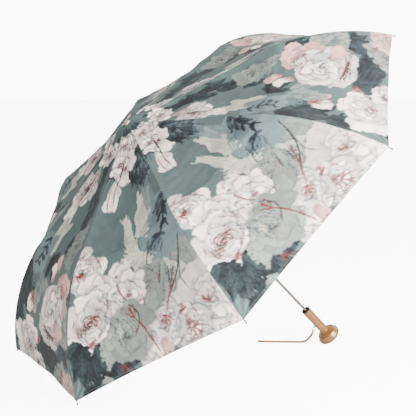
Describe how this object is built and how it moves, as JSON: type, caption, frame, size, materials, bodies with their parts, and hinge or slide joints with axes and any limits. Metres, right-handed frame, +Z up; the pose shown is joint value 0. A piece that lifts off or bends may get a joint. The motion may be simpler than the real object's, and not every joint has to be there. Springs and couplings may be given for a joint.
{
  "type": "folding umbrella",
  "caption": "Open three-fold pocket umbrella with an arched patterned canopy on folding ribs, a telescoping shaft and a mushroom-ended handle with a wrist strap.",
  "frame": {"origin": "on the floor under the middle of the umbrella's own box, strap left out", "axes": "+Z up; +X towards the handle; the shaft lies in the XZ plane, its crown end raised and towards -X"},
  "size_m": [0.6492, 0.8968, 0.6483],
  "materials": {
    "black_plastic": "matte",
    "canopy_cloth": "satin",
    "catch_steel": "polished",
    "clasp": "satin",
    "crown_cap": "satin",
    "gold_trim": "polished",
    "handle_gold": "satin",
    "middle_rib_metal": "satin",
    "rib_metal": "satin",
    "shaft_metal": "satin",
    "socket_plastic": "satin",
    "strap": "satin",
    "strap_end": "matte",
    "tip_wire": "satin"
  },
  "bodies": {
    "handle": {"lower_tube": "shaft_metal", "lower_tube_catch": "catch_steel", "handle_socket": "socket_plastic", "handle_sleeve": "handle_gold", "handle_knob": "handle_gold", "strap_eye": "gold_trim", "strap_ring": "gold_trim", "wrist_strap": "strap", "strap_clasp": "clasp", "strap_tip": "strap_end"},
    "middle_tube": {"middle_tube": "shaft_metal", "middle_tube_catch": "catch_steel"},
    "upper_tube": {"upper_tube": "shaft_metal", "runner_catch": "catch_steel", "top_notch": "black_plastic", "notch_ring": "catch_steel", "top_cap": "crown_cap", "canopy": "canopy_cloth"},
    "runner": {"runner": "black_plastic", "runner_ring": "catch_steel"},
    "top_rib_1": {"top_rib_1": "rib_metal"},
    "stretcher_1": {"stretcher_1": "rib_metal"},
    "middle_rib_1": {"middle_rib_1": "middle_rib_metal"},
    "outer_rib_1": {"outer_rib_1": "tip_wire"},
    "connecting_rod_1": {"connecting_rod_1": "rib_metal"},
    "top_rib_2": {"top_rib_2": "rib_metal"},
    "stretcher_2": {"stretcher_2": "rib_metal"},
    "middle_rib_2": {"middle_rib_2": "middle_rib_metal"},
    "outer_rib_2": {"outer_rib_2": "tip_wire"},
    "connecting_rod_2": {"connecting_rod_2": "rib_metal"},
    "top_rib_3": {"top_rib_3": "rib_metal"},
    "stretcher_3": {"stretcher_3": "rib_metal"},
    "middle_rib_3": {"middle_rib_3": "middle_rib_metal"},
    "outer_rib_3": {"outer_rib_3": "tip_wire"},
    "connecting_rod_3": {"connecting_rod_3": "rib_metal"},
    "top_rib_4": {"top_rib_4": "rib_metal"},
    "stretcher_4": {"stretcher_4": "rib_metal"},
    "middle_rib_4": {"middle_rib_4": "middle_rib_metal"},
    "outer_rib_4": {"outer_rib_4": "tip_wire"},
    "connecting_rod_4": {"connecting_rod_4": "rib_metal"},
    "top_rib_5": {"top_rib_5": "rib_metal"},
    "stretcher_5": {"stretcher_5": "rib_metal"},
    "middle_rib_5": {"middle_rib_5": "middle_rib_metal"},
    "outer_rib_5": {"outer_rib_5": "tip_wire"},
    "connecting_rod_5": {"connecting_rod_5": "rib_metal"},
    "top_rib_6": {"top_rib_6": "rib_metal"},
    "stretcher_6": {"stretcher_6": "rib_metal"},
    "middle_rib_6": {"middle_rib_6": "middle_rib_metal"},
    "outer_rib_6": {"outer_rib_6": "tip_wire"},
    "connecting_rod_6": {"connecting_rod_6": "rib_metal"},
    "top_rib_7": {"top_rib_7": "rib_metal"},
    "stretcher_7": {"stretcher_7": "rib_metal"},
    "middle_rib_7": {"middle_rib_7": "middle_rib_metal"},
    "outer_rib_7": {"outer_rib_7": "tip_wire"},
    "connecting_rod_7": {"connecting_rod_7": "rib_metal"},
    "top_rib_8": {"top_rib_8": "rib_metal"},
    "stretcher_8": {"stretcher_8": "rib_metal"},
    "middle_rib_8": {"middle_rib_8": "middle_rib_metal"},
    "outer_rib_8": {"outer_rib_8": "tip_wire"},
    "connecting_rod_8": {"connecting_rod_8": "rib_metal"}
  },
  "joints": [
    {"name": "middle_tube_slide", "type": "slide", "parent": "handle", "child": "middle_tube", "axis": [0.7139, 0, -0.7003], "range_m": [0, 0.161]},
    {"name": "upper_tube_slide", "type": "slide", "parent": "middle_tube", "child": "upper_tube", "axis": [0.7139, 0, -0.7003], "range_m": [0, 0.161]},
    {"name": "canopy_fold", "type": "hinge", "parent": "upper_tube", "child": "top_rib_1", "pos_m": [-0.15468, 0.00325, 0.45973], "axis": [-0.268, -0.9239, -0.2732], "range_deg": [0, 74.5], "deforming": ["canopy"]},
    {"name": "stretcher_1_pivot", "type": "hinge", "parent": "top_rib_1", "child": "stretcher_1", "pos_m": [-0.19772, 0.04012, 0.37729], "axis": [-0.268, -0.9239, -0.2732], "range_deg": [-149.05, 0]},
    {"name": "middle_rib_1_pivot", "type": "hinge", "parent": "top_rib_1", "child": "middle_rib_1", "pos_m": [-0.2233, 0.05835, 0.34073], "axis": [-0.268, -0.9239, -0.2732], "range_deg": [-173.65, 0]},
    {"name": "outer_rib_1_pivot", "type": "hinge", "parent": "middle_rib_1", "child": "outer_rib_1", "pos_m": [-0.29474, 0.11601, 0.2158], "axis": [-0.268, -0.9239, -0.2732], "range_deg": [0, 150.77]},
    {"name": "connecting_rod_1_pivot", "type": "hinge", "parent": "stretcher_1", "child": "connecting_rod_1", "pos_m": [-0.18956, 0.03643, 0.38175], "axis": [-0.268, -0.9239, -0.2732], "range_deg": [0, 147.05]},
    {"name": "top_rib_2_pivot", "type": "hinge", "parent": "upper_tube", "child": "top_rib_2", "pos_m": [-0.15468, -0.00325, 0.45973], "axis": [0.268, -0.9239, 0.2732], "range_deg": [0, 74.55]},
    {"name": "stretcher_2_pivot", "type": "hinge", "parent": "top_rib_2", "child": "stretcher_2", "pos_m": [-0.19772, -0.04012, 0.37729], "axis": [0.268, -0.9239, 0.2732], "range_deg": [-149.05, 0]},
    {"name": "middle_rib_2_pivot", "type": "hinge", "parent": "top_rib_2", "child": "middle_rib_2", "pos_m": [-0.2233, -0.05835, 0.34073], "axis": [0.268, -0.9239, 0.2732], "range_deg": [-173.65, 0]},
    {"name": "outer_rib_2_pivot", "type": "hinge", "parent": "middle_rib_2", "child": "outer_rib_2", "pos_m": [-0.29474, -0.11601, 0.2158], "axis": [0.268, -0.9239, 0.2732], "range_deg": [0, 150.77]},
    {"name": "connecting_rod_2_pivot", "type": "hinge", "parent": "stretcher_2", "child": "connecting_rod_2", "pos_m": [-0.18956, -0.03643, 0.38175], "axis": [0.268, -0.9239, 0.2732], "range_deg": [0, 147.05]},
    {"name": "top_rib_3_pivot", "type": "hinge", "parent": "upper_tube", "child": "top_rib_3", "pos_m": [-0.15146, -0.00785, 0.46302], "axis": [0.6469, -0.3827, 0.6596], "range_deg": [0, 74.55]},
    {"name": "stretcher_3_pivot", "type": "hinge", "parent": "top_rib_3", "child": "stretcher_3", "pos_m": [-0.15799, -0.09685, 0.41779], "axis": [0.6469, -0.3827, 0.6596], "range_deg": [-149.05, 0]},
    {"name": "middle_rib_3_pivot", "type": "hinge", "parent": "top_rib_3", "child": "middle_rib_3", "pos_m": [-0.16551, -0.14086, 0.39963], "axis": [0.6469, -0.3827, 0.6596], "range_deg": [-173.65, 0]},
    {"name": "outer_rib_3_pivot", "type": "hinge", "parent": "middle_rib_3", "child": "outer_rib_3", "pos_m": [-0.17985, -0.28007, 0.33293], "axis": [0.6469, -0.3827, 0.6596], "range_deg": [0, 150.77]},
    {"name": "connecting_rod_3_pivot", "type": "hinge", "parent": "stretcher_3", "child": "connecting_rod_3", "pos_m": [-0.15348, -0.08795, 0.41853], "axis": [0.6469, -0.3827, 0.6596], "range_deg": [0, 147.05]},
    {"name": "top_rib_4_pivot", "type": "hinge", "parent": "upper_tube", "child": "top_rib_4", "pos_m": [-0.1469, -0.00785, 0.46766], "axis": [0.6469, 0.3827, 0.6596], "range_deg": [0, 74.55]},
    {"name": "stretcher_4_pivot", "type": "hinge", "parent": "top_rib_4", "child": "stretcher_4", "pos_m": [-0.10181, -0.09685, 0.47507], "axis": [0.6469, 0.3827, 0.6596], "range_deg": [-149.05, 0]},
    {"name": "middle_rib_4_pivot", "type": "hinge", "parent": "top_rib_4", "child": "middle_rib_4", "pos_m": [-0.0838, -0.14086, 0.48294], "axis": [0.6469, 0.3827, 0.6596], "range_deg": [-173.65, 0]},
    {"name": "outer_rib_4_pivot", "type": "hinge", "parent": "middle_rib_4", "child": "outer_rib_4", "pos_m": [-0.01738, -0.28007, 0.49856], "axis": [0.6469, 0.3827, 0.6596], "range_deg": [0, 150.77]},
    {"name": "connecting_rod_4_pivot", "type": "hinge", "parent": "stretcher_4", "child": "connecting_rod_4", "pos_m": [-0.10246, -0.08795, 0.47055], "axis": [0.6469, 0.3827, 0.6596], "range_deg": [0, 147.05]},
    {"name": "top_rib_5_pivot", "type": "hinge", "parent": "upper_tube", "child": "top_rib_5", "pos_m": [-0.14368, -0.00325, 0.47095], "axis": [0.268, 0.9239, 0.2732], "range_deg": [0, 74.55]},
    {"name": "stretcher_5_pivot", "type": "hinge", "parent": "top_rib_5", "child": "stretcher_5", "pos_m": [-0.06208, -0.04012, 0.51557], "axis": [0.268, 0.9239, 0.2732], "range_deg": [-149.05, 0]},
    {"name": "middle_rib_5_pivot", "type": "hinge", "parent": "top_rib_5", "child": "middle_rib_5", "pos_m": [-0.02602, -0.05835, 0.54185], "axis": [0.268, 0.9239, 0.2732], "range_deg": [-173.65, 0]},
    {"name": "outer_rib_5_pivot", "type": "hinge", "parent": "middle_rib_5", "child": "outer_rib_5", "pos_m": [0.0975, -0.11601, 0.61568], "axis": [0.268, 0.9239, 0.2732], "range_deg": [0, 150.77]},
    {"name": "connecting_rod_5_pivot", "type": "hinge", "parent": "stretcher_5", "child": "connecting_rod_5", "pos_m": [-0.06638, -0.03643, 0.50733], "axis": [0.268, 0.9239, 0.2732], "range_deg": [0, 147.05]},
    {"name": "top_rib_6_pivot", "type": "hinge", "parent": "upper_tube", "child": "top_rib_6", "pos_m": [-0.14368, 0.00325, 0.47095], "axis": [-0.268, 0.9239, -0.2732], "range_deg": [0, 74.55]},
    {"name": "stretcher_6_pivot", "type": "hinge", "parent": "top_rib_6", "child": "stretcher_6", "pos_m": [-0.06208, 0.04012, 0.51557], "axis": [-0.268, 0.9239, -0.2732], "range_deg": [-149.05, 0]},
    {"name": "middle_rib_6_pivot", "type": "hinge", "parent": "top_rib_6", "child": "middle_rib_6", "pos_m": [-0.02602, 0.05835, 0.54185], "axis": [-0.268, 0.9239, -0.2732], "range_deg": [-173.65, 0]},
    {"name": "outer_rib_6_pivot", "type": "hinge", "parent": "middle_rib_6", "child": "outer_rib_6", "pos_m": [0.0975, 0.11601, 0.61568], "axis": [-0.268, 0.9239, -0.2732], "range_deg": [0, 150.77]},
    {"name": "connecting_rod_6_pivot", "type": "hinge", "parent": "stretcher_6", "child": "connecting_rod_6", "pos_m": [-0.06638, 0.03643, 0.50733], "axis": [-0.268, 0.9239, -0.2732], "range_deg": [0, 147.05]},
    {"name": "top_rib_7_pivot", "type": "hinge", "parent": "upper_tube", "child": "top_rib_7", "pos_m": [-0.1469, 0.00785, 0.46766], "axis": [-0.6469, 0.3827, -0.6596], "range_deg": [0, 74.55]},
    {"name": "stretcher_7_pivot", "type": "hinge", "parent": "top_rib_7", "child": "stretcher_7", "pos_m": [-0.10181, 0.09685, 0.47507], "axis": [-0.6469, 0.3827, -0.6596], "range_deg": [-149.05, 0]},
    {"name": "middle_rib_7_pivot", "type": "hinge", "parent": "top_rib_7", "child": "middle_rib_7", "pos_m": [-0.0838, 0.14086, 0.48294], "axis": [-0.6469, 0.3827, -0.6596], "range_deg": [-173.65, 0]},
    {"name": "outer_rib_7_pivot", "type": "hinge", "parent": "middle_rib_7", "child": "outer_rib_7", "pos_m": [-0.01738, 0.28007, 0.49856], "axis": [-0.6469, 0.3827, -0.6596], "range_deg": [0, 150.77]},
    {"name": "connecting_rod_7_pivot", "type": "hinge", "parent": "stretcher_7", "child": "connecting_rod_7", "pos_m": [-0.10246, 0.08795, 0.47055], "axis": [-0.6469, 0.3827, -0.6596], "range_deg": [0, 147.05]},
    {"name": "top_rib_8_pivot", "type": "hinge", "parent": "upper_tube", "child": "top_rib_8", "pos_m": [-0.15146, 0.00785, 0.46302], "axis": [-0.6469, -0.3827, -0.6596], "range_deg": [0, 74.55]},
    {"name": "stretcher_8_pivot", "type": "hinge", "parent": "top_rib_8", "child": "stretcher_8", "pos_m": [-0.15799, 0.09685, 0.41779], "axis": [-0.6469, -0.3827, -0.6596], "range_deg": [-149.05, 0]},
    {"name": "middle_rib_8_pivot", "type": "hinge", "parent": "top_rib_8", "child": "middle_rib_8", "pos_m": [-0.16551, 0.14086, 0.39963], "axis": [-0.6469, -0.3827, -0.6596], "range_deg": [-173.65, 0]},
    {"name": "outer_rib_8_pivot", "type": "hinge", "parent": "middle_rib_8", "child": "outer_rib_8", "pos_m": [-0.17985, 0.28007, 0.33293], "axis": [-0.6469, -0.3827, -0.6596], "range_deg": [0, 150.77]},
    {"name": "connecting_rod_8_pivot", "type": "hinge", "parent": "stretcher_8", "child": "connecting_rod_8", "pos_m": [-0.15348, 0.08795, 0.41853], "axis": [-0.6469, -0.3827, -0.6596], "range_deg": [0, 147.05]},
    {"name": "runner_travel", "type": "hinge", "parent": "stretcher_1", "child": "runner", "pos_m": [-0.11612, 0.00325, 0.42191], "axis": [-0.268, -0.9239, -0.2732], "range_deg": [0, 74.55]}
  ],
  "couplings": [
    {"joint": "stretcher_1_pivot", "follows": "canopy_fold", "ratio": -2},
    {"joint": "middle_rib_1_pivot", "follows": "canopy_fold", "ratio": -2.3302},
    {"joint": "outer_rib_1_pivot", "follows": "canopy_fold", "ratio": 2.0231},
    {"joint": "connecting_rod_1_pivot", "follows": "canopy_fold", "ratio": 1.9732},
    {"joint": "top_rib_2_pivot", "follows": "canopy_fold", "ratio": 1},
    {"joint": "stretcher_2_pivot", "follows": "canopy_fold", "ratio": -2},
    {"joint": "middle_rib_2_pivot", "follows": "canopy_fold", "ratio": -2.3302},
    {"joint": "outer_rib_2_pivot", "follows": "canopy_fold", "ratio": 2.0231},
    {"joint": "connecting_rod_2_pivot", "follows": "canopy_fold", "ratio": 1.9732},
    {"joint": "top_rib_3_pivot", "follows": "canopy_fold", "ratio": 1},
    {"joint": "stretcher_3_pivot", "follows": "canopy_fold", "ratio": -2},
    {"joint": "middle_rib_3_pivot", "follows": "canopy_fold", "ratio": -2.3302},
    {"joint": "outer_rib_3_pivot", "follows": "canopy_fold", "ratio": 2.0231},
    {"joint": "connecting_rod_3_pivot", "follows": "canopy_fold", "ratio": 1.9732},
    {"joint": "top_rib_4_pivot", "follows": "canopy_fold", "ratio": 1},
    {"joint": "stretcher_4_pivot", "follows": "canopy_fold", "ratio": -2},
    {"joint": "middle_rib_4_pivot", "follows": "canopy_fold", "ratio": -2.3302},
    {"joint": "outer_rib_4_pivot", "follows": "canopy_fold", "ratio": 2.0231},
    {"joint": "connecting_rod_4_pivot", "follows": "canopy_fold", "ratio": 1.9732},
    {"joint": "top_rib_5_pivot", "follows": "canopy_fold", "ratio": 1},
    {"joint": "stretcher_5_pivot", "follows": "canopy_fold", "ratio": -2},
    {"joint": "middle_rib_5_pivot", "follows": "canopy_fold", "ratio": -2.3302},
    {"joint": "outer_rib_5_pivot", "follows": "canopy_fold", "ratio": 2.0231},
    {"joint": "connecting_rod_5_pivot", "follows": "canopy_fold", "ratio": 1.9732},
    {"joint": "top_rib_6_pivot", "follows": "canopy_fold", "ratio": 1},
    {"joint": "stretcher_6_pivot", "follows": "canopy_fold", "ratio": -2},
    {"joint": "middle_rib_6_pivot", "follows": "canopy_fold", "ratio": -2.3302},
    {"joint": "outer_rib_6_pivot", "follows": "canopy_fold", "ratio": 2.0231},
    {"joint": "connecting_rod_6_pivot", "follows": "canopy_fold", "ratio": 1.9732},
    {"joint": "top_rib_7_pivot", "follows": "canopy_fold", "ratio": 1},
    {"joint": "stretcher_7_pivot", "follows": "canopy_fold", "ratio": -2},
    {"joint": "middle_rib_7_pivot", "follows": "canopy_fold", "ratio": -2.3302},
    {"joint": "outer_rib_7_pivot", "follows": "canopy_fold", "ratio": 2.0231},
    {"joint": "connecting_rod_7_pivot", "follows": "canopy_fold", "ratio": 1.9732},
    {"joint": "top_rib_8_pivot", "follows": "canopy_fold", "ratio": 1},
    {"joint": "stretcher_8_pivot", "follows": "canopy_fold", "ratio": -2},
    {"joint": "middle_rib_8_pivot", "follows": "canopy_fold", "ratio": -2.3302},
    {"joint": "outer_rib_8_pivot", "follows": "canopy_fold", "ratio": 2.0231},
    {"joint": "connecting_rod_8_pivot", "follows": "canopy_fold", "ratio": 1.9732},
    {"joint": "runner_travel", "follows": "canopy_fold", "ratio": 1}
  ]
}
